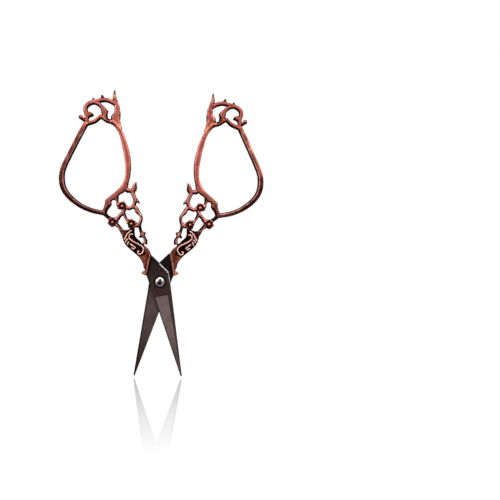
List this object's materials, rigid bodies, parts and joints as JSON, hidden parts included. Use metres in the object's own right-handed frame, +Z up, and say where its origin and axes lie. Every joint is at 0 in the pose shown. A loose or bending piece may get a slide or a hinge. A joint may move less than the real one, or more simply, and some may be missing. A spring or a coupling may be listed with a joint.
{
  "type": "embroidery scissors",
  "caption": "Small embroidery scissors with slim pointed blades, cast copper-coloured filigree handles with blossom tracery and scroll crowns, and a domed pivot screw.",
  "frame": {"origin": "on the pivot axis, at the flat back of the pivot bush", "axes": "+Z up from the pivot to the handles, +X to the right seen from the front, +Y out of the back face"},
  "size_m": [0.089, 0.0051, 0.124],
  "materials": {
    "blade_steel": "steel coloured dark brown, with a lighter ground bevel",
    "antique_copper": "cast metal plated copper, with dark patina in the recesses",
    "bright_screw": "polished",
    "dark_washer": "blackened"
  },
  "bodies": {
    "front_half": {"front_blade": "blade_steel", "left_handle": "antique_copper", "pivot_washer": "dark_washer"},
    "rear_half": {"rear_blade": "blade_steel", "right_handle": "antique_copper", "pivot_bush": "bright_screw", "pivot_screw": "bright_screw"}
  },
  "joints": [
    {"name": "pivot", "type": "hinge", "parent": "front_half", "child": "rear_half", "pos_m": [0, 0, 0], "axis": [0, 1, 0], "range_deg": [-28, 60]}
  ]
}
